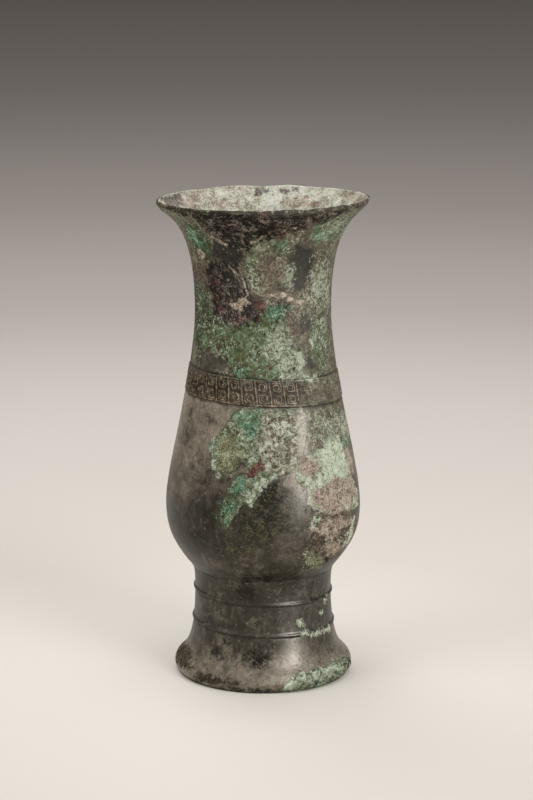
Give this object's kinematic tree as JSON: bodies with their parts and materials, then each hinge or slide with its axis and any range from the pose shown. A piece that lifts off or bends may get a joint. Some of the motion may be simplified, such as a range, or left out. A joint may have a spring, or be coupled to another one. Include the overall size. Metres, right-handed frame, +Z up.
{
  "type": "bronze wine vessel",
  "caption": "Slender bronze wine vessel with a flared mouth, round belly, spiral band and ring foot, under a patchy green corrosion crust.",
  "frame": {"origin": "centre of the foot rim on the ground plane", "axes": "+Z up along the vessel's axis, the crusted front faces -Y"},
  "size_m": [0.0786, 0.0787, 0.18],
  "materials": {
    "bronze": "satin dark patina",
    "band_bronze": "worn dark patina",
    "chaplet_bronze": "satin dark patina",
    "dark_crust": "rough",
    "green_crust": "rough",
    "pale_crust": "rough"
  },
  "bodies": {
    "root": {"vessel_body": "bronze", "ring_foot": "bronze", "leiwen_band_front": "band_bronze", "leiwen_band_back": "band_bronze", "belly_chaplets": "chaplet_bronze", "floor_chaplets": "chaplet_bronze", "crust_lip_front": "dark_crust", "crust_neck_front": "green_crust", "crust_belly_front": "green_crust", "crust_belly_right": "pale_crust", "crust_belly_low": "dark_crust", "crust_foot_edge": "green_crust"}
  },
  "joints": []
}
